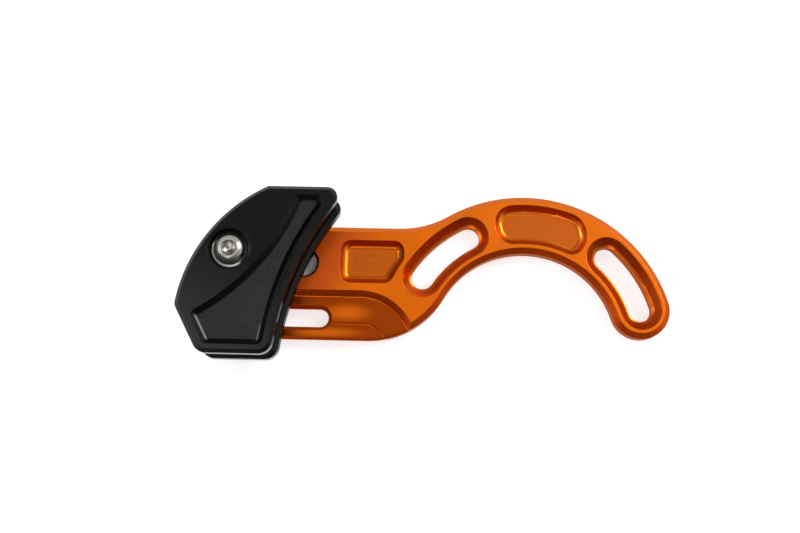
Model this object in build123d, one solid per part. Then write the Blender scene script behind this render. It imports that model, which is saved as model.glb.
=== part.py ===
from build123d import *
import os
from math import atan2, cos, degrees, hypot, radians, sin, sqrt, tan

# Bicycle chain guide: a milled backplate that hooks round the bottom bracket and carries a two-plate chain cage.
# Millimetres. The origin is on the bottom bracket's axis, in the plane of the frame's mounting tabs.
# X runs along the adjusting slots, away from the cage, and Z points outward from the bicycle.

# Backplate: the hook round the bottom bracket
plate_t = 5.0
slot_circle_r = 33.0
hook_w = 15.8
edge_chamfer = 1.45
back_chamfer = 0.25

# Mounting slots for the frame's M6 tab bolts, with a recess for their heads
tab_slot_w = 6.2
tab_slot_span = 29.4
tab_slot_angles = (32.7, 132.5)
head_recess_w = 11.2
head_recess_depth = 2.4
recess_wall_slope = 42.0
recess_floor_r = 2.0

# Backplate: the arm under the cage
arm_top_y = 31.4
arm_bottom_y = 0.4
arm_neck_r = 26.0
arm_throat_r = 23.5
arm_end_inset = 0.8
arm_relief_depth = 1.0

# Shallow pockets in the backplate's face
pocket_depth = 2.0
pocket_wall_slope = 38.0
pocket_floor_r = 1.6
arc_pocket_land = 2.4
arc_pocket_angles = (59.2, 104.0)
arc_pocket_corner_share = 0.45
arc_pocket_sweep_share = 0.58
arc_pocket_toe_share = 0.33
arm_pocket_left_x = -50.2
arm_pocket_bottom_y = 15.8
arm_pocket_top_y = 27.7
arm_pocket_bend_share = 0.43
arm_pocket_corner_r = 3.0
arm_pocket_land = 1.15

# Lowered terrace along which the cage's key slides, with a lower sill at its foot
terrace_top_y = 13.8
terrace_drop = 1.7
terrace_end_r = 16.0
terrace_end_x = -44.7
sill_top_y = 5.2
sill_drop = 0.45
sill_end_r = 6.2
sill_end_x = -43.5
step_slope = 45.0
terrace_foot_r = 0.5
sill_foot_r = 0.35
step_edge_chamfer = 0.7

# Adjusting slots and the cage's travel along them
cage_travel = 17.2
slot_end_gap = 0.4
slot_rim_chamfer = 0.6
bolt_slot_w = 7.3
bolt_slot_y = 21.2
screw_slot_w = 4.9
screw_slot_y = 6.3
screw_rim_chamfer = 0.9

# Cage: the outline that both guide plates share
guide_t = 4.2
channel_w = 8.8
cage_top_y = 38.1
cage_bottom_y = -5.9
nose_top_x = -68.4
nose_end_x = -91.2
nose_end_y = 6.3
nose_r = 41.4
tail_lean = 28.1
ring_side_top_x = -47.6
ring_side_foot_x = -66.0
ring_side_r = 79.4
guide_tip_r = 2.6
guide_heel_r = 3.6
guide_nose_r = 3.0
guide_chamfer = 1.0
channel_chamfer = 0.6

# Cage: the pocket in the outer plate's face
guide_rim = 2.2
guide_pocket_depth = 1.5
guide_pocket_slope = 45.0
guide_pocket_floor_corner_r = 0.7
guide_pocket_floor_r = 0.6
bolt_land_offset = (-67.4, 16.2)
bolt_land_r = 57.2

# Cage: the roof over the chain, its locating pegs and the key that runs in the terrace
roof_t = 3.2
roof_inset = 1.5
roof_gaps = (6.0, 2.2)
bolt_boss_r = 4.6
peg_d = 2.2
peg_h = 2.0
peg_turn = 4.0
key_left_x = -80.0
key_bottom_y = 1.4
key_inset = 1.5

# Bolt through the cage, with its long slot nut behind the plate
bolt_nose_inset = 8.45
bolt_d = 5.0
bolt_l = 20.0
bolt_head_d = 9.4
bolt_head_h = 2.75
bolt_head_rim = 0.4
bolt_collar_w = 0.55
bolt_collar_rise = 0.32
bolt_head_flat_d = 5.0
counterbore_d = 10.2
counterbore_depth = 2.4
counterbore_chamfer = 0.55
bolt_socket_af = 3.0
bolt_socket_depth = 1.7
socket_mouth_d = 4.2
socket_mouth_depth = 0.5
socket_drill_depth = 0.8
nut_flange_run = 17.5
nut_flange_w = 11.0
nut_flange_t = 2.0
nut_chamfer = 0.3
nut_boss_h = 3.4

# Screw and washer behind the plate, which hold the cage's lower end
screw_x = -73.05
screw_d = 4.0
screw_l = 7.6
screw_head_d = 8.0
screw_head_h = 1.6
screw_head_chamfer = 0.3
screw_socket_af = 2.5
screw_socket_depth = 1.2
washer_d = 9.6
washer_t = 0.8

# Clearances
bolt_hole_gap = 0.2
thread_gap = 0.05
peg_gap = 0.1
peg_end_gap = 0.3
boss_gap = 0.1
key_side_gap = 0.4
key_floor_gap = 0.2
screw_tip_gap = 0.6
nut_run_gap = 0.8

hook_inner_r = slot_circle_r - hook_w / 2
hook_outer_r = slot_circle_r + hook_w / 2
terrace_z = plate_t - terrace_drop
sill_z = terrace_z - sill_drop
inner_top_z = plate_t + guide_t
outer_back_z = inner_top_z + channel_w
outer_top_z = outer_back_z + guide_t
bolt_seat_z = outer_top_z - counterbore_depth
screw_seat_z = arm_relief_depth - washer_t
reach = 2 * abs(nose_end_x)


def polar(radius, angle, center=(0, 0)):
    return (center[0] + radius * cos(radians(angle)), center[1] + radius * sin(radians(angle)))


# The centre of an arc of a given radius that bows left on its way down from start to end.
def arc_center(start, end, radius):
    dx = end[0] - start[0]
    dy = end[1] - start[1]
    chord = hypot(dx, dy)
    rise = sqrt(radius**2 - chord**2 / 4)
    return ((start[0] + end[0]) / 2 - rise * dy / chord, (start[1] + end[1]) / 2 + rise * dx / chord)


def bearing(point, center):
    return degrees(atan2(point[1] - center[1], point[0] - center[0]))


def arc(radius, start, end, center=(0, 0)):
    return ThreePointArc(
        polar(radius, start, center), polar(radius, (start + end) / 2, center), polar(radius, end, center)
    )


def box_sketch(x0, y0, x1, y1):
    return Pos((x0 + x1) / 2, (y0 + y1) / 2) * Rectangle(x1 - x0, y1 - y0)


def disc(radius, center):
    return Pos(*center) * Circle(radius)


def ring_sector(inner_r, outer_r, start, end, center=(0, 0)):
    return make_face(
        [
            arc(outer_r, start, end, center),
            Line(polar(outer_r, end, center), polar(inner_r, end, center)),
            arc(inner_r, end, start, center),
            Line(polar(inner_r, start, center), polar(outer_r, start, center)),
        ]
    )


def arc_slot(middle, width):
    start = middle - tab_slot_span / 2
    end = middle + tab_slot_span / 2
    half = width / 2
    return make_face(
        [
            arc(slot_circle_r + half, start, end),
            arc(half, end, end + 180, polar(slot_circle_r, end)),
            arc(slot_circle_r - half, end, start),
            arc(half, start + 180, start + 360, polar(slot_circle_r, start)),
        ]
    )


def adjusting_slot(x, y, width):
    run = cage_travel + 2 * slot_end_gap
    return Pos(x + cage_travel / 2, y) * SlotCenterToCenter(run, width)


def round_corner(sketch, point, radius):
    return fillet(sketch.vertices().sort_by_distance((*point, 0))[0], radius)


def extrude_from(sketch, z0, z1):
    return extrude(Pos(0, 0, z0) * sketch, amount=z1 - z0, dir=(0, 0, 1))


# A cutter for a hollow with walls that lean in by the slope and run into the floor on a radius.
def sunk(sketch, top_z, depth, slope=0.0, floor_r=0.0):
    hollow = extrude_from(sketch, top_z - depth, top_z + depth)
    if slope:
        floor = hollow.faces().sort_by(Axis.Z)[0]
        hollow = chamfer(floor.edges(), depth * tan(radians(slope)), depth, reference=floor)
    if floor_r:
        hollow = fillet(edges_at(hollow, top_z - depth), floor_r)
    return hollow


def edges_at(solid, z):
    return solid.edges().filter_by_position(Axis.Z, z, z)


# The cage's outline: a flat top, the side that follows the chainring, a flat foot, a leaning tail and a round nose.
nose_top = (nose_top_x, cage_top_y)
nose_end = (nose_end_x, nose_end_y)
nose_center = arc_center(nose_top, nose_end, nose_r)
roof_angles = (bearing(nose_top, nose_center) + roof_gaps[0], bearing(nose_end, nose_center) - roof_gaps[1])
bolt_x = nose_center[0] - sqrt(nose_r**2 - (bolt_slot_y - nose_center[1]) ** 2) + bolt_nose_inset
arm_relief_x = bolt_x + cage_travel + nut_flange_run + nut_flange_w / 2 + nut_run_gap


def sharp_cage():
    tip = (ring_side_top_x, cage_top_y)
    heel = (ring_side_foot_x, cage_bottom_y)
    tail = (nose_end_x + (nose_end_y - cage_bottom_y) * tan(radians(tail_lean)), cage_bottom_y)
    side_center = arc_center(tip, heel, ring_side_r)
    outline = make_face(
        [
            Line(nose_top, tip),
            arc(ring_side_r, bearing(tip, side_center), bearing(heel, side_center), side_center),
            Line(heel, tail),
            Line(tail, nose_end),
            arc(nose_r, bearing(nose_end, nose_center), bearing(nose_top, nose_center), nose_center),
        ]
    )
    return outline, ((tip, guide_tip_r), (heel, guide_heel_r), (tail, guide_heel_r), (nose_end, guide_nose_r))


def cage_outline():
    outline, corners = sharp_cage()
    for point, radius in corners:
        outline = round_corner(outline, point, radius)
    return outline


# The backplate's outline: the hook ends in a round, sweeps into the arm, and the arm stops short of the cage's nose.
def plate_outline(cage):
    neck_y = arm_top_y + arm_neck_r
    neck_x = -sqrt((hook_outer_r + arm_neck_r) ** 2 - neck_y**2)
    neck_angle = degrees(atan2(neck_y, neck_x))
    throat_y = arm_bottom_y + arm_throat_r
    throat_x = -sqrt((hook_inner_r + arm_throat_r) ** 2 - throat_y**2)
    throat_angle = degrees(atan2(throat_y, throat_x))
    end_angle = tab_slot_angles[0] - tab_slot_span / 2
    long_arm = make_face(
        [
            arc(hook_outer_r, end_angle, neck_angle),
            arc(arm_neck_r, neck_angle - 180, -90, (neck_x, neck_y)),
            Polyline((neck_x, arm_top_y), (-reach, arm_top_y), (-reach, arm_bottom_y), (throat_x, arm_bottom_y)),
            arc(arm_throat_r, -90, throat_angle - 180, (throat_x, throat_y)),
            arc(hook_inner_r, throat_angle, end_angle),
            arc(hook_w / 2, end_angle + 180, end_angle + 360, polar(slot_circle_r, end_angle)),
        ]
    )
    return long_arm & (offset(cage, -arm_end_inset) + box_sketch(screw_x, -reach, reach, reach))


def arc_pocket():
    start, end = arc_pocket_angles
    inner_r = hook_inner_r + arc_pocket_land
    outer_r = hook_outer_r - arc_pocket_land
    width = outer_r - inner_r
    pocket = ring_sector(inner_r, outer_r, start, end)
    pocket = round_corner(pocket, polar(outer_r, start), arc_pocket_sweep_share * width)
    pocket = round_corner(pocket, polar(inner_r, start), arc_pocket_toe_share * width)
    pocket = round_corner(pocket, polar(outer_r, end), arc_pocket_corner_share * width)
    return round_corner(pocket, polar(inner_r, end), arc_pocket_corner_share * width)


# The arm's pocket keeps a land beside the slot's recess: its right side bends where it meets that land.
def arm_pocket():
    land_r = slot_circle_r + head_recess_w / 2 + arm_pocket_land
    bend_y = arm_pocket_top_y - arm_pocket_bend_share * (arm_pocket_top_y - arm_pocket_bottom_y)
    right_x = -sqrt(land_r**2 - bend_y**2)
    pocket = box_sketch(arm_pocket_left_x, arm_pocket_bottom_y, right_x, arm_pocket_top_y)
    pocket -= disc(land_r, (0, 0))
    return fillet(pocket.vertices(), arm_pocket_corner_r)


def step_sketch(end_x, end_r, top_y):
    right_x = end_x + end_r
    low_y = top_y - end_r
    return make_face(
        [
            arc(end_r, 0, 90, (end_x, low_y)),
            Polyline((end_x, top_y), (-reach, top_y), (-reach, -reach), (right_x, -reach), (right_x, low_y)),
        ]
    )


# Where a step lowers the plate's face, the outline's edge gets a chamfer of its own.
def step_edge_trim(outline, end_x, end_r, top_y, drop, floor_z):
    run = drop * tan(radians(step_slope))
    floor = step_sketch(end_x, end_r - run, top_y - run)
    land = extrude_from(outline, 0, floor_z)
    land = chamfer(edges_at(land, floor_z), step_edge_chamfer)
    return extrude_from(floor, floor_z - step_edge_chamfer, floor_z) - land


def make_backplate(cage):
    outline = plate_outline(cage)
    terrace = (terrace_end_x, terrace_end_r, terrace_top_y)
    sill = (sill_end_x, sill_end_r, sill_top_y)
    plate = extrude_from(outline, 0, plate_t)
    plate = chamfer(edges_at(plate, plate_t), edge_chamfer)
    plate = chamfer(edges_at(plate, 0), back_chamfer)
    plate -= extrude_from(box_sketch(-reach, -reach, arm_relief_x, reach), 0, arm_relief_depth)
    for middle in tab_slot_angles:
        recess = arc_slot(middle, head_recess_w)
        plate -= sunk(recess, plate_t, head_recess_depth, recess_wall_slope, recess_floor_r)
        plate -= extrude_from(arc_slot(middle, tab_slot_w), 0, plate_t)
    for pocket in (arc_pocket(), arm_pocket()):
        plate -= sunk(pocket, plate_t, pocket_depth, pocket_wall_slope, pocket_floor_r)
    plate -= sunk(step_sketch(*terrace), plate_t, terrace_drop, step_slope, terrace_foot_r)
    plate -= step_edge_trim(outline, *terrace, terrace_drop, terrace_z)
    plate -= sunk(step_sketch(*sill), terrace_z, sill_drop, step_slope, sill_foot_r)
    plate -= step_edge_trim(outline, *sill, sill_drop, sill_z)
    plate -= extrude_from(adjusting_slot(bolt_x, bolt_slot_y, bolt_slot_w), 0, plate_t)
    plate -= extrude_from(adjusting_slot(screw_x, screw_slot_y, screw_slot_w), 0, plate_t)
    bolt_rim = adjusting_slot(bolt_x, bolt_slot_y, bolt_slot_w + 2 * slot_rim_chamfer)
    screw_rim = adjusting_slot(screw_x, screw_slot_y, screw_slot_w + 2 * screw_rim_chamfer)
    plate -= sunk(bolt_rim, plate_t, slot_rim_chamfer, 45)
    plate -= sunk(screw_rim, sill_z, screw_rim_chamfer, 45)
    return plate


def roof_pegs(radius, z0, z1):
    mid_r = nose_r - roof_inset - roof_t / 2
    first, last = roof_angles
    pegs = [disc(radius, polar(mid_r, angle, nose_center)) for angle in (first + peg_turn, last - peg_turn)]
    return [extrude_from(peg, z0, z1) for peg in pegs]


# One machined piece: the plate, the roof over the chain with the bolt's boss, two pegs, and a key on the back.
def make_inner_guide_plate(cage):
    bolt_at = (bolt_x, bolt_slot_y)
    plate = extrude_from(cage, plate_t, inner_top_z)
    plate = chamfer(edges_at(plate, inner_top_z), guide_chamfer)
    roof_r = nose_r - roof_inset
    roof = ring_sector(roof_r - roof_t, roof_r, *roof_angles, nose_center) + disc(bolt_boss_r, bolt_at)
    plate += extrude_from(roof, inner_top_z, outer_back_z)
    for peg in roof_pegs(peg_d / 2, outer_back_z, outer_back_z + peg_h):
        plate += peg
    key_top_y = terrace_top_y - terrace_drop * tan(radians(step_slope)) - key_side_gap
    key = offset(cage, -key_inset) & box_sketch(key_left_x, key_bottom_y, reach, key_top_y)
    plate += extrude_from(key, terrace_z + key_floor_gap, plate_t)
    plate -= extrude_from(disc(bolt_d / 2 + bolt_hole_gap, bolt_at), plate_t, outer_back_z)
    screw_hole = disc(screw_d / 2 + thread_gap, (screw_x, screw_slot_y))
    return plate - extrude_from(screw_hole, terrace_z, screw_seat_z + screw_l + screw_tip_gap)


def make_outer_guide_plate(cage):
    bolt_at = (bolt_x, bolt_slot_y)
    plate = extrude_from(cage, outer_back_z, outer_top_z)
    plate = chamfer(edges_at(plate, outer_top_z), guide_chamfer)
    plate = chamfer(edges_at(plate, outer_back_z), channel_chamfer)
    land_at = (ring_side_top_x + bolt_land_offset[0], cage_top_y + bolt_land_offset[1])
    pocket = offset(sharp_cage()[0], -guide_rim) - disc(bolt_land_r, land_at)
    wall_run = guide_pocket_depth * tan(radians(guide_pocket_slope))
    pocket = fillet(pocket.vertices(), wall_run + guide_pocket_floor_corner_r)
    plate -= sunk(pocket, outer_top_z, guide_pocket_depth, guide_pocket_slope, guide_pocket_floor_r)
    plate -= extrude_from(disc(counterbore_d / 2, bolt_at), bolt_seat_z, outer_top_z)
    rim = edges_at(plate, outer_top_z).sort_by_distance((*bolt_at, outer_top_z))[0]
    plate = chamfer(rim, counterbore_chamfer)
    plate -= extrude_from(disc(bolt_d / 2 + bolt_hole_gap, bolt_at), outer_back_z, bolt_seat_z)
    for hole in roof_pegs(peg_d / 2 + peg_gap, outer_back_z, outer_back_z + peg_h + peg_end_gap):
        plate -= hole
    return plate


def hexagon(across_flats):
    return RegularPolygon(across_flats / 2, 6, major_radius=False)


# Button head: a sloped collar round a dome that ends in a flat, with a countersunk hexagon socket in it.
def make_guide_bolt():
    head_r = bolt_head_d / 2
    flat_r = bolt_head_flat_d / 2
    dome_r = head_r - bolt_collar_w
    dome_z = bolt_head_rim + bolt_collar_rise
    mid_r = (dome_r + flat_r) / 2 + (dome_r - flat_r) / 8
    mid_z = (dome_z + bolt_head_h) / 2 + (bolt_head_h - dome_z) / 8
    profile = make_face(
        [
            Polyline((0, bolt_head_h), (0, -bolt_l), (bolt_d / 2, -bolt_l), (bolt_d / 2, 0)),
            Polyline((bolt_d / 2, 0), (head_r, 0), (head_r, bolt_head_rim), (dome_r, dome_z)),
            ThreePointArc((dome_r, dome_z), (mid_r, mid_z), (flat_r, bolt_head_h)),
            Line((flat_r, bolt_head_h), (0, bolt_head_h)),
        ]
    )
    bolt = revolve(Plane.XZ * profile, Axis.Z)
    bolt -= sunk(hexagon(bolt_socket_af), bolt_head_h, bolt_socket_depth)
    mouth = Cone(socket_mouth_d / 2 - socket_mouth_depth, socket_mouth_d / 2, socket_mouth_depth)
    bolt -= Pos(0, 0, bolt_head_h - socket_mouth_depth / 2) * mouth
    drill_point = Cone(0, bolt_socket_af / 2, socket_drill_depth)
    bolt -= Pos(0, 0, bolt_head_h - bolt_socket_depth - socket_drill_depth / 2) * drill_point
    return Pos(bolt_x, bolt_slot_y, bolt_seat_z) * bolt


def make_slot_nut():
    back_z = arm_relief_depth
    boss = Circle(bolt_slot_w / 2 - boss_gap)
    flange = Pos(nut_flange_run / 2, 0) * SlotCenterToCenter(nut_flange_run, nut_flange_w)
    nut = extrude_from(flange, back_z - nut_flange_t, back_z)
    nut = chamfer(edges_at(nut, back_z - nut_flange_t), nut_chamfer)
    nut += extrude_from(boss, back_z, back_z + nut_boss_h)
    nut -= extrude_from(Circle(bolt_d / 2 + thread_gap), back_z - nut_flange_t, back_z + nut_boss_h)
    return Pos(bolt_x, bolt_slot_y) * nut


def make_slide_screw():
    screw = extrude_from(Circle(screw_head_d / 2), screw_seat_z - screw_head_h, screw_seat_z)
    screw = chamfer(edges_at(screw, screw_seat_z - screw_head_h), screw_head_chamfer)
    screw += extrude_from(Circle(screw_d / 2), screw_seat_z, screw_seat_z + screw_l)
    socket_z = screw_seat_z - screw_head_h
    screw -= extrude_from(hexagon(screw_socket_af), socket_z, socket_z + screw_socket_depth)
    return Pos(screw_x, screw_slot_y) * screw


def make_slide_washer():
    ring = Circle(washer_d / 2) - Circle(screw_d / 2 + bolt_hole_gap)
    return Pos(screw_x, screw_slot_y) * extrude_from(ring, screw_seat_z, screw_seat_z + washer_t)


os.makedirs("parts", exist_ok=True)
cage = cage_outline()
pieces = {
    "backplate": make_backplate(cage),
    "inner_guide_plate": make_inner_guide_plate(cage),
    "outer_guide_plate": make_outer_guide_plate(cage),
    "guide_bolt": make_guide_bolt(),
    "slot_nut": make_slot_nut(),
    "slide_screw": make_slide_screw(),
    "slide_washer": make_slide_washer(),
}
for name, solid in pieces.items():
    export_step(solid, f"parts/{name}.step")
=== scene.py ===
import math

import bpy
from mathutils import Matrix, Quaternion, Vector


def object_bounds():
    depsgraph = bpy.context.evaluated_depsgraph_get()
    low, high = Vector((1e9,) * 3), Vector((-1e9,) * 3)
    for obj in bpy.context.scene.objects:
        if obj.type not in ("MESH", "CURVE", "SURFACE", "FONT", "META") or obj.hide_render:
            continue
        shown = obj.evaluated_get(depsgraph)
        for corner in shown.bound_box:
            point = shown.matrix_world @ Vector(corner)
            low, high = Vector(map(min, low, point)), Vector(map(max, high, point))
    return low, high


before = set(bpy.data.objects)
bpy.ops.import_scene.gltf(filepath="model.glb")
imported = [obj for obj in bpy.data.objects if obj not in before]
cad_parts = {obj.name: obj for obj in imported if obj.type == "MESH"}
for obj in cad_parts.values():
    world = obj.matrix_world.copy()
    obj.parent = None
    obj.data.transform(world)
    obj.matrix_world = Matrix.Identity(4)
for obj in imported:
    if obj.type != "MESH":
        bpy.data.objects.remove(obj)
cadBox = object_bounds()
print("frame loaded:", len(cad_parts), "nodes")


# helpers for node trees: a value may be a number, a colour or another node's socket
def addNode(tree, kind, **settings):
    node = tree.nodes.new(kind)
    for name, value in settings.items():
        setattr(node, name, value)
    return node


def feed(tree, socket, value):
    if isinstance(value, bpy.types.NodeSocket):
        tree.links.new(value, socket)
    else:
        socket.default_value = value


def calc(tree, operation, *values, clamp=False):
    node = addNode(tree, "ShaderNodeMath", operation=operation, use_clamp=clamp)
    for socket, value in zip(node.inputs, values):
        feed(tree, socket, value)
    return node.outputs[0]


def plus(tree, first, second, clamp=False):
    return calc(tree, "ADD", first, second, clamp=clamp)


def minus(tree, first, second, clamp=False):
    return calc(tree, "SUBTRACT", first, second, clamp=clamp)


def absolute(tree, value):
    return calc(tree, "ABSOLUTE", value)


def squared(tree, value):
    return calc(tree, "POWER", value, 2.0)


# one operation taken along a row of values
def inTurn(tree, operation, values):
    result = values[0]
    for value in values[1:]:
        result = calc(tree, operation, result, value)
    return result


def times(tree, *values):
    return inTurn(tree, "MULTIPLY", values)


def smallest(tree, *values):
    return inTurn(tree, "MINIMUM", values)


def largest(tree, *values):
    return inTurn(tree, "MAXIMUM", values)


def ramp(tree, value, low, high, outLow=0.0, outHigh=1.0, soft=True):
    node = addNode(tree, "ShaderNodeMapRange", interpolation_type="SMOOTHSTEP" if soft else "LINEAR")
    for socket, item in zip(node.inputs, (value, low, high, outLow, outHigh)):
        feed(tree, socket, item)
    return node.outputs["Result"]


def mix(tree, kind, factor, first, second):
    node = addNode(tree, "ShaderNodeMix", data_type=kind)
    feed(tree, node.inputs["Factor"], factor)
    feed(tree, node.inputs["A"], first)
    feed(tree, node.inputs["B"], second)
    return node.outputs["Result"]


def mixColour(tree, factor, first, second):
    return mix(tree, "RGBA", factor, first, second)


def mixValue(tree, factor, first, second):
    return mix(tree, "FLOAT", factor, first, second)


# an input with three numbers is a vector, any other a plain value
def startGroup(name, inputs, values=(), vectors=()):
    group = bpy.data.node_groups.new(name, "ShaderNodeTree")
    valueKind, vectorKind = "NodeSocketFloat", "NodeSocketVector"
    for label, start in inputs.items():
        kind = vectorKind if isinstance(start, tuple) else valueKind
        socket = group.interface.new_socket(name=label, in_out="INPUT", socket_type=kind)
        socket.default_value = start
    for labels, kind in ((values, valueKind), (vectors, vectorKind)):
        for label in labels:
            group.interface.new_socket(name=label, in_out="OUTPUT", socket_type=kind)
    return group, group.nodes.new("NodeGroupInput").outputs, group.nodes.new("NodeGroupOutput").inputs


def place(tree, group, **values):
    node = addNode(tree, "ShaderNodeGroup", node_tree=group)
    for label, value in values.items():
        feed(tree, node.inputs[label], value)
    return node.outputs


# where a point is in the part's own millimetres, and how far its face looks up, to the crown and right
def makePartPlace(perMetre=1000.0):
    axisOutputs, faceOutputs = {"X": "X", "Y": "Y", "Z": "Z"}, {"Up": "Z", "Crown": "Y", "Right": "X"}
    group, _, out = startGroup("partPlace", {}, values=(*axisOutputs, *faceOutputs), vectors=("Place",))
    coords = addNode(group, "ShaderNodeTexCoord")
    scale = addNode(group, "ShaderNodeVectorMath", operation="SCALE")
    feed(group, scale.inputs[0], coords.outputs["Object"])
    scale.inputs["Scale"].default_value = perMetre
    feed(group, out["Place"], scale.outputs["Vector"])
    for source, outputs in ((scale.outputs["Vector"], axisOutputs), (coords.outputs["Normal"], faceOutputs)):
        parts = addNode(group, "ShaderNodeSeparateXYZ")
        feed(group, parts.inputs[0], source)
        for label, axis in outputs.items():
            feed(group, out[label], parts.outputs[axis])
    return group


# distance outward from an upright cylinder
def makeArcGap():
    starts = {"X": 0.0, "Y": 0.0, "CentreX": 0.0, "CentreY": 0.0, "Radius": 10.0}
    group, given, out = startGroup("arcGap", starts, values=("Gap",))
    dx = minus(group, given["X"], given["CentreX"])
    dy = minus(group, given["Y"], given["CentreY"])
    length = calc(group, "SQRT", plus(group, times(group, dx, dx), times(group, dy, dy)))
    feed(group, out["Gap"], minus(group, length, given["Radius"]))
    return group


# rounded edges for the shading normal, and a mask of where they are
edgeLook = {"radius": 0.00015, "samples": 6, "bent": (0.99, 0.9)}


def makeSoftEdge(look):
    starts = {"Radius": look["radius"]}
    group, given, out = startGroup("softEdge", starts, values=("Edge",), vectors=("Normal",))
    bevel = addNode(group, "ShaderNodeBevel", samples=look["samples"])
    feed(group, bevel.inputs["Radius"], given["Radius"])
    geometry = addNode(group, "ShaderNodeNewGeometry")
    dot = addNode(group, "ShaderNodeVectorMath", operation="DOT_PRODUCT")
    feed(group, dot.inputs[0], bevel.outputs["Normal"])
    feed(group, dot.inputs[1], geometry.outputs["Normal"])
    feed(group, out["Normal"], bevel.outputs["Normal"])
    feed(group, out["Edge"], ramp(group, dot.outputs["Value"], *look["bent"]))
    return group


# scalloped cutter lines at an even pitch, with a little wander, and a shine of its own for each pass
markLook = {"pitch": 0.8, "wander": 0.05, "noiseScale": 0.35, "noiseDetail": 1.0, "groove": (0.28, 0.5)}


def makeToolMarks(look):
    starts = {"Place": (0, 0, 0), "Gap": 0.0, "Pitch": look["pitch"], "Wander": look["wander"]}
    group, given, out = startGroup("toolMarks", starts, values=("Groove", "Pass"))
    noise = addNode(group, "ShaderNodeTexNoise")
    feed(group, noise.inputs["Vector"], given["Place"])
    noise.inputs["Scale"].default_value = look["noiseScale"]
    noise.inputs["Detail"].default_value = look["noiseDetail"]
    wander = times(group, minus(group, noise.outputs["Fac"], 0.5), given["Wander"])
    steps = calc(group, "DIVIDE", plus(group, given["Gap"], wander), given["Pitch"])
    wave = absolute(group, minus(group, calc(group, "FRACT", steps), 0.5))
    feed(group, out["Groove"], ramp(group, wave, *look["groove"]))
    white = addNode(group, "ShaderNodeTexWhiteNoise", noise_dimensions="1D")
    feed(group, white.inputs["W"], calc(group, "FLOOR", steps))
    feed(group, out["Pass"], white.outputs["Value"])
    return group


# fine satin grain and slow patches of tone
satinLook = {"Grain": {"scale": 9.0, "detail": 3.0}, "Patch": {"scale": 0.06, "detail": 4.0}}


def makeSatin(look):
    starts = {label + "Scale": layer["scale"] for label, layer in look.items()}
    group, given, out = startGroup("satin", {"Place": (0, 0, 0), **starts}, values=tuple(look))
    for label, layer in look.items():
        noise = addNode(group, "ShaderNodeTexNoise")
        feed(group, noise.inputs["Vector"], given["Place"])
        feed(group, noise.inputs["Scale"], given[label + "Scale"])
        noise.inputs["Detail"].default_value = layer["detail"]
        feed(group, out[label], noise.outputs["Fac"])
    return group


partPlace = makePartPlace()
arcGap = makeArcGap()
softEdge = makeSoftEdge(edgeLook)
toolMarks = makeToolMarks(markLook)
satin = makeSatin(satinLook)
print("shared groups made")


def startMaterial(name):
    material = bpy.data.materials.new(name)
    material.use_nodes = True
    tree = material.node_tree
    return material, tree, tree.nodes["Principled BSDF"]


# a finish for the part: its material with the point's place, its satin and its soft edges
def startFinish(name, look):
    material, tree, shader = startMaterial(name)
    at = place(tree, partPlace)
    grain = place(tree, satin, Place=at["Place"])
    edge = place(tree, softEdge, Radius=look["edgeRadius"])
    return material, tree, shader, at, grain, edge


def circleGap(tree, at, centre, radius):
    centreX, centreY = centre
    return place(tree, arcGap, X=at["X"], Y=at["Y"], CentreX=centreX, CentreY=centreY, Radius=radius)["Gap"]


# how far a point lies from a start, along a direction seen from above
def reach(tree, at, start, direction):
    across = times(tree, minus(tree, at["X"], start[0]), direction[0])
    up = times(tree, minus(tree, at["Y"], start[1]), direction[1])
    return plus(tree, across, up)


# roughness that drifts with the patches of tone
def patchyRough(tree, grain, look):
    return plus(tree, look["roughness"], times(tree, minus(tree, grain["Patch"], 0.5), look["patchRough"]))


# grain and cuts as relief over the soft edges
def bumpUnder(tree, shader, look, grain, cuts, edge):
    bump = addNode(tree, "ShaderNodeBump")
    bump.inputs["Strength"].default_value = look["bumpStrength"]
    bump.inputs["Distance"].default_value = look["bumpDepth"]
    feed(tree, bump.inputs["Height"], plus(tree, times(tree, grain["Grain"], look["grain"]), cuts))
    feed(tree, bump.inputs["Normal"], edge["Normal"])
    feed(tree, shader.inputs["Normal"], bump.outputs["Normal"])


# ranges of a face's upward look, from 1 on a flat top through 0 on a wall to -1 on the back
facing = {
    "flat": (0.97, 0.995), "level": (0.85, 0.97), "tilted": (0.97, 0.8), "stepped": (0.97, 0.9),
    "chamfer": (0.84, 0.76), "coated": (0.3, 0.8), "upward": (0.3, 0.6), "offSteep": (0.4, 0.5),
    "offSheer": (0.3, 0.5), "steep": (0.5, 0.1), "sheer": (0.3, 0.1), "offWall": (0.1, 0.4),
    "offBack": (0.1, 0.3), "back": (-0.9, -0.97),
}


def faces(tree, at, way):
    return ramp(tree, at["Up"], *facing[way])


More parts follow.
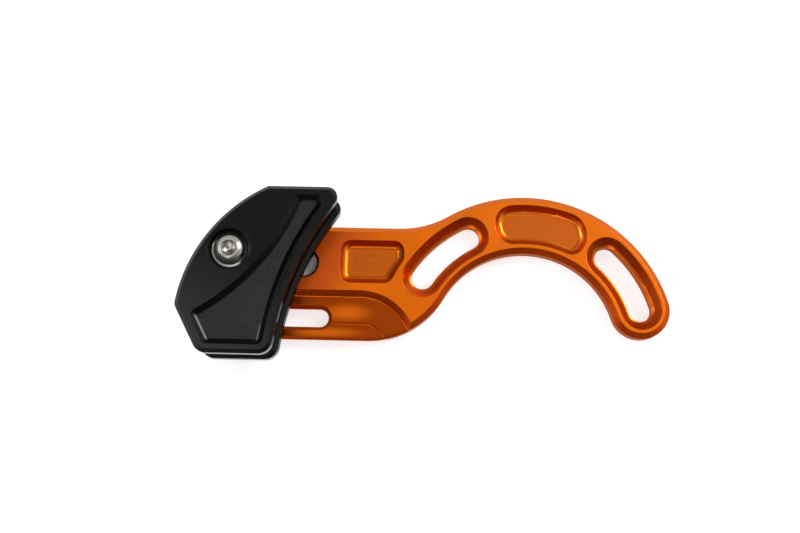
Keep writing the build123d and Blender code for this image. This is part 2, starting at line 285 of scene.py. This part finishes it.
# orange anodised backplate: satin faces, and cutter-marked floors in the pockets and on the terrace
plateLook = {
    # colours; those of the terrace, the slopes, the walls and the land by the cage are painted light and
    # shade
    "orange": (0.82, 0.160, 0.004, 1), "deep": (0.75, 0.140, 0.003, 1), "worn": (0.95, 0.34, 0.06, 1),
    "floor": (0.54, 0.098, 0.004, 1), "terrace": (0.34, 0.045, 0.001, 1), "sheen": (0.75, 0.142, 0.004, 1),
    "slope": (0.53, 0.060, 0.002, 1), "crownSlopeReflection": (0.62, 0.135, 0.018, 1), "wall": (0.42, 0.060, 0.002, 1),
    "pocketSlopeLight": (0.64, 0.115, 0.005, 1), "pocketEndHighlight": (0.95, 0.34, 0.025, 1),
    "slotFarShade": (0.39, 0.046, 0.001, 1), "slotHighlightAndCrest": (0.86, 0.24, 0.025, 1),
    "cageShade": (0.64, 0.088, 0.001, 1), "rim": (0.70, 0.58, 0.50, 1),
    "patch": (0.35, 0.7), "grooveWorn": 0.3, "wallHighlight": 0.4, "stepCrest": 0.35, "edgeWorn": 0.2,
    # shine
    "roughness": 0.29, "patchRough": 0.08, "floorRough": 0.22, "passRough": 0.1, "terracePass": 0.5,
    "slopeRough": 0.38, "pocketRough": 0.27, "levelShine": 0.06, "wallRough": 0.3,
    "besideDull": 0.45, "pocketDull": 0.18, "coat": (-42.0, 5.0, 0.045, 0.13), "coatRough": 0.2,
    # relief
    "grain": 0.12, "cut": 2.2, "stepCut": 0.7, "swirlCut": 0.03, "bumpStrength": 0.25, "bumpDepth": 0.00002,
    "edgeRadius": 0.00016, "pitch": 0.62, "swirlPitch": 0.5, "swirlY": 7.0, "swirlBend": 0.07,
    "levelPitch": 0.52, "levelWander": 0.5,
    # places in millimetres
    "hookX": (-32.2, -31.2), "terraceY": (14.2, 13.8), "landZ": (4.7, 4.9), "glowZ": (4.3, 3.8),
    "floorTop": (3.55, 3.45), "floorFoot": (2.3, 2.5), "armPocket": (-50.2, -32.7, 15.8, 27.7),
    "arcPocketTurn": 81.6, "arcPocketHalf": (13.2, 5.9), "pocketRim": (-0.2, 0.1),
    "slotCircle": 33.0, "slotHalf": 5.75, "slotFade": 0.2, "frontSlotX": (14.0, 18.0),
    "tipEnd": (31.39, 10.2), "tipFade": (0.2, -0.2), "tipRim": (-0.1, 0.1),
    "sheens": [(-48.2, 7.8, 5.6, 2.0), (-54.5, 2.4, 8.8, 1.2)], "sheenFade": (1.7, 0.1),
    "cageLine": {"start": (0.0, 15.0), "direction": (1.0, -0.5)}, "nearCage": (-45.0, -56.0),
    # ranges of a face's look to the crown or to the right
    "crownward": (0.1, 0.55), "offCrownWall": (-0.6, 0.2), "leftEnd": (0.25, 0.55),
    "rightEnd": (-0.25, -0.55), "rightEndLow": (0.3, 0.05), "farWall": (-0.2, -0.5), "innerWall": (0.15, 0.6),
}


# distances from the slots' circle and into the arm's pocket, which the cutter followed
def plateGaps(tree, at, look):
    left, right, low, high = look["armPocket"]
    ring = absolute(tree, circleGap(tree, at, (0.0, 0.0), look["slotCircle"]))
    box = smallest(tree, minus(tree, at["X"], left), minus(tree, right, at["X"]),
                   minus(tree, at["Y"], low), minus(tree, high, at["Y"]))
    return ring, box


# the two pockets, less their crown sides, and the fillets at their ends
def pocketMasks(tree, at, look, ring, box):
    turn = math.radians(look["arcPocketTurn"])
    halfLength, halfWidth = look["arcPocketHalf"]
    along = reach(tree, at, (0.0, 0.0), (math.sin(turn), -math.cos(turn)))
    arc = smallest(tree, minus(tree, halfLength, absolute(tree, along)),
                   minus(tree, halfWidth, ring), at["Y"])
    area = ramp(tree, largest(tree, arc, box), *look["pocketRim"])
    inside = times(tree, area, ramp(tree, at["Crown"], *look["offCrownWall"]))
    leftEnd = ramp(tree, at["Right"], *look["leftEnd"])
    rightEnd = times(tree, ramp(tree, at["Right"], *look["rightEnd"]),
                     ramp(tree, at["Crown"], *look["rightEndLow"]))
    ends = smallest(tree, area, largest(tree, leftEnd, rightEnd), ramp(tree, at["Z"], *look["glowZ"]))
    return inside, ends


# the slots' sloping walls, which were stepped down level by level; the tip's own chamfer has no steps
def steppedMask(tree, at, look, ring, inHook):
    endX, endY = look["tipEnd"]
    nearSlot = ramp(tree, ring, look["slotHalf"], look["slotHalf"] - look["slotFade"])
    stepped = smallest(tree, inHook, nearSlot, faces(tree, at, "stepped"), faces(tree, at, "offSheer"))
    pastEnd = ramp(tree, reach(tree, at, (0.0, 0.0), (-endY / endX, 1.0)), *look["tipFade"])
    endRim = ramp(tree, circleGap(tree, at, look["tipEnd"], look["slotHalf"]), *look["tipRim"])
    return minus(tree, stepped, smallest(tree, pastEnd, endRim), clamp=True)


# two soft painted sheens on the terrace
def sheenMask(tree, at, look):
    lit = 0.0
    for sheenX, sheenY, halfWidth, halfHeight in look["sheens"]:
        across = squared(tree, calc(tree, "DIVIDE", minus(tree, at["X"], sheenX), halfWidth))
        up = squared(tree, calc(tree, "DIVIDE", minus(tree, at["Y"], sheenY), halfHeight))
        lit = largest(tree, lit, ramp(tree, calc(tree, "SQRT", plus(tree, across, up)), *look["sheenFade"]))
    return lit


def makePlateMaterial(look):
    material, tree, shader, at, grain, edge = startFinish("orangeAnodised", look)
    ring, box = plateGaps(tree, at, look)
    flat, tilted = faces(tree, at, "flat"), faces(tree, at, "tilted")
    sunk = times(tree, flat, ramp(tree, at["Z"], *look["floorTop"]), ramp(tree, at["Z"], *look["floorFoot"]))
    inHook = ramp(tree, at["X"], *look["hookX"])
    onTerrace = ramp(tree, at["Y"], *look["terraceY"])
    inPocket, pocketEnds = pocketMasks(tree, at, look, ring, box)
    stepped = steppedMask(tree, at, look, ring, inHook)
    inFrontSlot = times(tree, stepped, ramp(tree, at["X"], *look["frontSlotX"]))
    # cutter lines: round the hook, in the arm's pocket, in arcs on the terrace, level on the slots' walls
    bend = times(tree, squared(tree, minus(tree, at["Y"], look["swirlY"])), look["swirlBend"])
    path = mixValue(tree, inHook, box, ring)
    marks = place(tree, toolMarks, Place=at["Place"], Gap=path, Pitch=look["pitch"])
    swirl = place(tree, toolMarks, Place=at["Place"], Gap=plus(tree, at["X"], bend), Pitch=look["swirlPitch"])
    levels = place(tree, toolMarks, Place=at["Place"], Gap=at["Z"], Pitch=look["levelPitch"],
                   Wander=look["levelWander"])
    swirlGroove = times(tree, swirl["Groove"], look["swirlCut"])
    groove = times(tree, mixValue(tree, onTerrace, marks["Groove"], swirlGroove), sunk)
    shine = times(tree, mixValue(tree, onTerrace, marks["Pass"], look["terracePass"]), sunk)
    stepLine = times(tree, stepped, levels["Groove"])
    # floors are darker than the land, partly from their cut and partly as painted shade in the recesses
    tone = mixColour(tree, ramp(tree, grain["Patch"], *look["patch"]), look["orange"], look["deep"])
    tone = mixColour(tree, sunk, tone, look["floor"])
    tone = mixColour(tree, times(tree, marks["Groove"], sunk, look["grooveWorn"]), tone, look["worn"])
    # painted shade on the terrace, darkest away from its painted sheens
    terrace = mixColour(tree, sheenMask(tree, at, look), look["terrace"], look["sheen"])
    tone = mixColour(tree, times(tree, onTerrace, sunk), tone, terrace)
    # painted shade: slopes and walls darker and redder, crown-facing ones a paler painted reflection
    crownward = minus(tree, ramp(tree, at["Crown"], *look["crownward"]), inFrontSlot, clamp=True)
    slope = mixColour(tree, crownward, look["slope"], look["crownSlopeReflection"])
    # painted shade on the front slot's far wall
    farWall = times(tree, inFrontSlot, ramp(tree, at["Right"], *look["farWall"]))
    slope = mixColour(tree, farWall, slope, look["slotFarShade"])
    # painted light on the pockets' slopes, and a painted highlight on the fillets at their ends, the
    # brightest
    slope = mixColour(tree, inPocket, slope, look["pocketSlopeLight"])
    slope = mixColour(tree, pocketEnds, slope, look["pocketEndHighlight"])
    tone = mixColour(tree, tilted, tone, slope)
    # a painted highlight on the front slot's inner wall; the crests of the steps are lighter too
    litInnerWall = smallest(tree, inFrontSlot, ramp(tree, at["Right"], *look["innerWall"]))
    tone = mixColour(tree, times(tree, litInnerWall, look["wallHighlight"]), tone, look["slotHighlightAndCrest"])
    tone = mixColour(tree, times(tree, stepLine, look["stepCrest"]), tone, look["slotHighlightAndCrest"])
    # painted shade on the steep walls
    tone = mixColour(tree, faces(tree, at, "steep"), tone, look["wall"])
    tone = mixColour(tree, faces(tree, at, "back"), tone, look["deep"])
    # next to the cage the land has painted shade of the cage, darker and redder, and mirrors less
    cageward = ramp(tree, reach(tree, at, **look["cageLine"]), *look["nearCage"])
    cageShadeArea = smallest(tree, flat, ramp(tree, at["Z"], *look["landZ"]), cageward)
    tone = mixColour(tree, cageShadeArea, tone, look["cageShade"])
    tone = mixColour(tree, times(tree, edge["Edge"], look["edgeWorn"]), tone, look["worn"])
    feed(tree, shader.inputs["Base Color"], tone)
    # roughness of the land, then of the floors, slopes and walls
    floorRough = plus(tree, look["floorRough"], times(tree, shine, look["passRough"]))
    rough = mixValue(tree, sunk, patchyRough(tree, grain, look), floorRough)
    slopeRough = mixValue(tree, inPocket, look["slopeRough"], look["pocketRough"])
    slopeRough = minus(tree, slopeRough, times(tree, levels["Pass"], stepped, look["levelShine"]))
    rough = mixValue(tree, faces(tree, at, "level"), slopeRough, rough)
    rough = mixValue(tree, faces(tree, at, "offWall"), look["wallRough"], rough)
    feed(tree, shader.inputs["Roughness"], rough)
    pocketWall = smallest(tree, inPocket, tilted, faces(tree, at, "offBack"))
    dull = largest(tree, times(tree, cageShadeArea, look["besideDull"]), times(tree, pocketWall, look["pocketDull"]))
    feed(tree, shader.inputs["Metallic"], minus(tree, 1.0, dull))
    shader.inputs["Specular Tint"].default_value = look["rim"]
    coat = times(tree, faces(tree, at, "coated"), ramp(tree, at["X"], *look["coat"]))
    feed(tree, shader.inputs["Coat Weight"], coat)
    shader.inputs["Coat Roughness"].default_value = look["coatRough"]
    cuts = times(tree, largest(tree, groove, times(tree, stepLine, look["stepCut"])), look["cut"])
    bumpUnder(tree, shader, look, grain, cuts, edge)
    return material


# black guide plates: satin faces, and cutter lines that step in from the pocket's sides
guideLook = {
    # colours; the one towards the foot is a painted sheen
    "black": (0.0028, 0.0028, 0.0025, 1), "grey": (0.0042, 0.0042, 0.0042, 1),
    "worn": (0.040, 0.040, 0.039, 1), "paintedSheen": (0.025, 0.025, 0.0245, 1),
    "floor": (0.0145, 0.0145, 0.0145, 1), "groove": (0.068, 0.068, 0.067, 1),
    "side": (0.022, 0.022, 0.020, 1), "rim": (0.29, 0.29, 0.29, 1),
    "patch": (0.35, 0.7), "grooveWorn": 0.5, "edgeWorn": 0.4,
    # shine
    "roughness": 0.32, "patchRough": 0.1, "floorRough": 0.26, "passRough": 0.16, "wallRough": 0.2,
    "specular": 0.5, "ringSideMetallic": 0.8,
    # relief
    "grain": 0.1, "bumpStrength": 0.6, "bumpDepth": 0.00004, "edgeRadius": 0.0002, "pitch": 0.6,
    # places in millimetres: the pocket's sides, its floor and what lies below
    "landSide": {"centre": (-115.0, 54.3), "radius": 57.2},
    "ringSide": {"centre": (13.0, -13.4), "radius": 81.6},
    "tailSide": {"start": (-86.3, 1.1), "turn": 28.1}, "footY": -3.7, "topY": 35.9, "pocketRim": (-0.15, 0.1),
    "floorZ": 20.7, "floorBand": (0.4, 0.3), "outerZ": (20.3, 20.5), "innerZ": (12.0, 11.0),
    "sheenLine": {"start": (-77.8, 21.2), "direction": (-0.5, -0.8)}, "sheenReach": (0.0, 22.0),
    "ringSideFoot": (-4.5, -2.5), "ringSideTop": (34.0, 32.0),
    # painted highlights: bright lines where the pocket's walls run out into its floor
    "tailHighlight": {"tone": (0.22, 0.22, 0.215, 1), "inset": 1.75, "width": (0.35, 0.12)},
    "ringHighlight": {"tone": (0.105, 0.105, 0.102, 1), "inset": 1.7, "width": (0.32, 0.12)},
    "lineFoot": (-2.9, -2.1), "tailLineTop": (0.9, 1.6), "ringLineTop": (2.8, -0.2),
}


# distances inward from the pocket's sides
def guideGaps(tree, at, look):
    turn = math.radians(look["tailSide"]["turn"])
    land = circleGap(tree, at, **look["landSide"])
    ring = circleGap(tree, at, **look["ringSide"])
    tail = reach(tree, at, look["tailSide"]["start"], (math.cos(turn), math.sin(turn)))
    foot = minus(tree, at["Y"], look["footY"])
    top = minus(tree, look["topY"], at["Y"])
    inward = smallest(tree, land, ring, tail, foot, top)
    return land, ring, tail, inward


def lineMask(tree, gap, line, *limits):
    off = absolute(tree, minus(tree, gap, line["inset"]))
    return smallest(tree, ramp(tree, off, *line["width"]), *limits)


def makeGuideMaterial(look):
    material, tree, shader, at, grain, edge = startFinish("blackGuide", look)
    land, ring, tail, inward = guideGaps(tree, at, look)
    flat = faces(tree, at, "flat")
    onFloor = ramp(tree, absolute(tree, minus(tree, at["Z"], look["floorZ"])), *look["floorBand"])
    sunk = times(tree, flat, onFloor)
    marks = place(tree, toolMarks, Place=at["Place"], Gap=inward, Pitch=look["pitch"])
    groove = times(tree, marks["Groove"], sunk)
    # a painted sheen greys the face towards the foot, and the pocket's floor is greyer again
    tone = mixColour(tree, ramp(tree, grain["Patch"], *look["patch"]), look["black"], look["grey"])
    paintedSheen = ramp(tree, reach(tree, at, **look["sheenLine"]), *look["sheenReach"], soft=False)
    tone = mixColour(tree, times(tree, paintedSheen, flat), tone, look["paintedSheen"])
    tone = mixColour(tree, sunk, tone, look["floor"])
    tone = mixColour(tree, times(tree, groove, look["grooveWorn"]), tone, look["groove"])
    tone = mixColour(tree, times(tree, edge["Edge"], look["edgeWorn"]), tone, look["worn"])
    # the pocket's sloping sides and the inner plate's chamfers shine less
    chamfer = times(tree, faces(tree, at, "chamfer"), faces(tree, at, "offSteep"))
    onOuter = ramp(tree, at["Z"], *look["outerZ"])
    pocketSides = smallest(tree, chamfer, onOuter, ramp(tree, inward, *look["pocketRim"]))
    sides = largest(tree, pocketSides, times(tree, chamfer, ramp(tree, at["Z"], *look["innerZ"])))
    tone = mixColour(tree, sides, tone, look["side"])
    # painted highlights: the walls at the tail and on the chainring's side end in bright lines near the foot
    aboveFoot = ramp(tree, at["Y"], *look["lineFoot"])
    tailTop = ramp(tree, land, *look["tailLineTop"])
    ringTop = ramp(tree, at["Y"], *look["ringLineTop"])
    tailHighlight = lineMask(tree, tail, look["tailHighlight"], onOuter, aboveFoot, tailTop)
    ringHighlight = lineMask(tree, ring, look["ringHighlight"], onOuter, aboveFoot, ringTop)
    tone = mixColour(tree, tailHighlight, tone, look["tailHighlight"]["tone"])
    tone = mixColour(tree, ringHighlight, tone, look["ringHighlight"]["tone"])
    feed(tree, shader.inputs["Base Color"], tone)
    ringSide = smallest(tree, faces(tree, at, "sheer"), ramp(tree, at["Y"], *look["ringSideFoot"]),
                        ramp(tree, at["Y"], *look["ringSideTop"]))
    dim = largest(tree, sides, times(tree, ringSide, look["ringSideMetallic"]))
    feed(tree, shader.inputs["Metallic"], minus(tree, dim, largest(tree, tailHighlight, ringHighlight), clamp=True))
    floorRough = plus(tree, look["floorRough"], times(tree, marks["Pass"], look["passRough"]))
    rough = mixValue(tree, sunk, patchyRough(tree, grain, look), floorRough)
    rough = mixValue(tree, faces(tree, at, "offWall"), look["wallRough"], rough)
    feed(tree, shader.inputs["Roughness"], rough)
    shader.inputs["Specular IOR Level"].default_value = look["specular"]
    shader.inputs["Specular Tint"].default_value = look["rim"]
    bumpUnder(tree, shader, look, grain, groove, edge)
    return material


# stainless fasteners: turned rings about their own axis
steelLook = {
    "steel": (0.60, 0.59, 0.56, 1), "dull": (0.50, 0.49, 0.46, 1), "bright": (0.92, 0.91, 0.88, 1),
    "patch": (0.3, 0.7), "edgeWorn": 0.6, "metallic": 1.0, "roughness": 0.26, "passRough": 0.08,
    "grain": 0.1, "bumpStrength": 0.35, "bumpDepth": 0.00001, "edgeRadius": 0.0001,
    # the socket's tone is painted shade
    "pitch": 0.14, "wander": 0.02, "socket": (0.40, 0.37, 0.32, 1), "socketFade": 0.1,
}
boltLook = {
    **steelLook, "centre": (-77.8, 21.2), "roughness": 0.24, "socketR": 2.05,
    # painted shade on the dome and on one side of it, and a painted highlight on the rim there
    "dome": (0.46, 0.45, 0.42, 1), "domeR": (2.5, 2.8), "sideShade": (0.07, 0.07, 0.06, 1), "sideShadeDull": 0.6,
    "shadeWay": (-0.6, -0.8), "shadeReach": (-0.6, 1.8), "rimHighlight": (0.96, 0.96, 0.94, 1),
    "rimHighlightR": (4.15, 4.3), "rimHighlightReach": (0.3, 1.8),
}
nutLook = {
    **steelLook, "centre": (-77.8, 21.2), "roughness": 0.3, "pitch": 0.9,
    # painted light on the face that shows in the slot
    "paintedLight": (0.95, 0.95, 0.94, 1), "paintedLightDull": 0.9,
}
screwLook = {**steelLook, "centre": (-73.05, 6.3), "socketR": 1.4}


# painted shade on one side of the bolt's dome, which mirrors less there, and a painted highlight on its rim
# on that side
def shadeHead(tree, at, look, ringGap, tone):
    onDome = ramp(tree, ringGap, *look["domeR"])
    toSide = reach(tree, at, look["centre"], look["shadeWay"])
    shaded = times(tree, onDome, ramp(tree, toSide, *look["shadeReach"]))
    highlighted = smallest(tree, ramp(tree, ringGap, *look["rimHighlightR"]), ramp(tree, toSide, *look["rimHighlightReach"]))
    tone = mixColour(tree, shaded, tone, look["sideShade"])
    tone = mixColour(tree, highlighted, tone, look["rimHighlight"])
    return tone, largest(tree, times(tree, shaded, look["sideShadeDull"]), highlighted)


def makeSteelMaterial(name, look):
    material, tree, shader, at, grain, edge = startFinish(name, look)
    ringGap = circleGap(tree, at, look["centre"], 0.0)
    marks = place(tree, toolMarks, Place=at["Place"], Gap=ringGap, Pitch=look["pitch"], Wander=look["wander"])
    tone = mixColour(tree, ramp(tree, grain["Patch"], *look["patch"]), look["steel"], look["dull"])
    # painted shade on the dome beyond the collar
    if "dome" in look:
        tone = mixColour(tree, ramp(tree, ringGap, *look["domeR"]), tone, look["dome"])
    # painted shade in the hex socket
    if "socketR" in look:
        inSocket = ramp(tree, ringGap, look["socketR"], look["socketR"] - look["socketFade"])
        tone = mixColour(tree, inSocket, tone, look["socket"])
    tone = mixColour(tree, times(tree, edge["Edge"], look["edgeWorn"]), tone, look["bright"])
    metallic = look["metallic"]
    if "sideShade" in look:
        tone, dull = shadeHead(tree, at, look, ringGap, tone)
        metallic = minus(tree, metallic, dull)
    if "paintedLight" in look:  # painted light on the upward faces, those that show in the slot
        faceUp = faces(tree, at, "upward")
        tone = mixColour(tree, faceUp, tone, look["paintedLight"])
        metallic = minus(tree, metallic, times(tree, faceUp, look["paintedLightDull"]))
    feed(tree, shader.inputs["Metallic"], metallic)
    feed(tree, shader.inputs["Base Color"], tone)
    rough = plus(tree, look["roughness"], times(tree, marks["Pass"], look["passRough"]))
    feed(tree, shader.inputs["Roughness"], rough)
    bumpUnder(tree, shader, look, grain, marks["Groove"], edge)
    return material


finishes = {
    "plate": makePlateMaterial(plateLook),
    "guide": makeGuideMaterial(guideLook),
    "bolt": makeSteelMaterial("stainlessBolt", boltLook),
    "nut": makeSteelMaterial("stainlessNut", nutLook),
    "screw": makeSteelMaterial("stainlessScrew", screwLook),
}
wears = {
    "backplate": "plate", "inner_guide_plate": "guide", "outer_guide_plate": "guide",
    "guide_bolt": "bolt", "slot_nut": "nut", "slide_screw": "screw", "slide_washer": "screw",
}
for nodeName, finish in wears.items():
    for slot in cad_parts[nodeName].material_slots:
        slot.material = finishes[finish]
print("finishes on", len(wears), "nodes")


# white floor under the lowest point, lit plainly, with a lift for what the camera and reflections see
floorLook = {
    "size": 8.0, "colour": (0.54, 0.54, 0.54, 1), "roughness": 0.9, "specular": 0.0,
    "glow": (1, 1, 1, 1), "lift": 0.66,
}


def makeFloor(look):
    bpy.ops.mesh.primitive_plane_add(size=look["size"], location=(0, 0, cadBox[0].z))
    floor = bpy.context.object
    floor.name = "studioFloor"
    material, tree, shader = startMaterial("studioFloorWhite")
    shader.inputs["Base Color"].default_value = look["colour"]
    shader.inputs["Roughness"].default_value = look["roughness"]
    shader.inputs["Specular IOR Level"].default_value = look["specular"]
    shader.inputs["Emission Color"].default_value = look["glow"]
    rays = addNode(tree, "ShaderNodeLightPath")
    seen = plus(tree, rays.outputs["Is Camera Ray"], rays.outputs["Is Glossy Ray"])
    seen = plus(tree, seen, rays.outputs["Is Transmission Ray"], clamp=True)
    feed(tree, shader.inputs["Emission Strength"], times(tree, seen, look["lift"]))
    floor.data.materials.append(material)


# soft studio: a dome that is white at the horizon and dim overhead, soft boxes and a dark card by the camera
studio = {
    "sky": (1, 1, 1, 1), "rise": (0.05, 0.85), "horizon": 0.9, "zenith": 0.32, "aim": (-0.03, 0.02, 0),
    "boxes": {
        "topBox": {"spot": (0.23, 0.20, 1.10), "size": 0.9, "watts": 1.7},
        "rightBox": {"spot": (0.52, 0.36, 0.52), "size": 0.36, "watts": 3.4},
        "leftBox": {"spot": (-0.62, 0.05, 0.50), "size": 0.36, "watts": 1.8},
        "frontBox": {"spot": (-0.22, -0.56, 0.62), "size": 0.36, "watts": 1.1},
    },
    "card": {"spot": (-0.05, -0.78, 0.26), "size": (3.2, 0.52), "tone": (0.1, 0.1, 0.1, 1), "roughness": 1.0},
}


def makeDome(look):
    world = bpy.data.worlds.new("studioDome")
    bpy.context.scene.world = world
    world.use_nodes = True
    tree = world.node_tree
    coords = addNode(tree, "ShaderNodeTexCoord")
    axes = addNode(tree, "ShaderNodeSeparateXYZ")
    feed(tree, axes.inputs[0], coords.outputs["Generated"])
    level = ramp(tree, axes.outputs["Z"], *look["rise"], look["horizon"], look["zenith"])
    feed(tree, tree.nodes["Background"].inputs["Strength"], level)
    tree.nodes["Background"].inputs["Color"].default_value = look["sky"]


def makeSoftBox(name, box, aim):
    lamp = bpy.data.lights.new(name, "AREA")
    lamp.shape, lamp.size, lamp.energy = "SQUARE", box["size"], box["watts"]
    holder = bpy.data.objects.new(name, lamp)
    holder.location = box["spot"]
    holder.rotation_mode = "QUATERNION"
    holder.rotation_quaternion = (Vector(aim) - Vector(box["spot"])).to_track_quat("-Z", "Y")
    bpy.context.collection.objects.link(holder)


# the card stands upright, unseen by the camera, for the dark reflections
def makeCard(look):
    bpy.ops.mesh.primitive_plane_add(size=1.0, location=look["spot"], rotation=(math.radians(90), 0, 0))
    panel = bpy.context.object
    panel.name = "darkCard"
    panel.scale = (*look["size"], 1)
    material, _, shader = startMaterial("cardDark")
    shader.inputs["Base Color"].default_value = look["tone"]
    shader.inputs["Roughness"].default_value = look["roughness"]
    panel.data.materials.append(material)
    panel.visible_camera = False


makeFloor(floorLook)
makeDome(studio)
for boxName, softBox in studio["boxes"].items():
    makeSoftBox(boxName, softBox, studio["aim"])
makeCard(studio["card"])
print("studio lit")


# camera from the photograph: nearly overhead, leaning in from the foot of the picture
viewFrom = {
    "target": (-0.03387, 0.02053, 0.005), "azimuth": 5.49, "elevation": 78.9, "roll": -4.19,
    "distance": 0.2991, "lens": 49.5, "sensor": 36.0, "clip": (0.01, 50.0),
}


def makeCamera(look):
    around, up = math.radians(look["azimuth"]), math.radians(look["elevation"])
    back = Vector((math.sin(around) * math.cos(up), -math.cos(around) * math.cos(up), math.sin(up)))
    data = bpy.data.cameras.new("photoCamera")
    data.lens, data.sensor_width = look["lens"], look["sensor"]
    data.clip_start, data.clip_end = look["clip"]
    camera = bpy.data.objects.new("photoCamera", data)
    camera.location = Vector(look["target"]) + back * look["distance"]
    camera.rotation_mode = "QUATERNION"
    roll = Quaternion((0, 0, 1), math.radians(look["roll"]))
    camera.rotation_quaternion = (-back).to_track_quat("-Z", "Y") @ roll
    bpy.context.collection.objects.link(camera)
    bpy.context.scene.camera = camera


makeCamera(viewFrom)
bpy.context.scene.view_settings.view_transform = "Standard"
print("camera set")
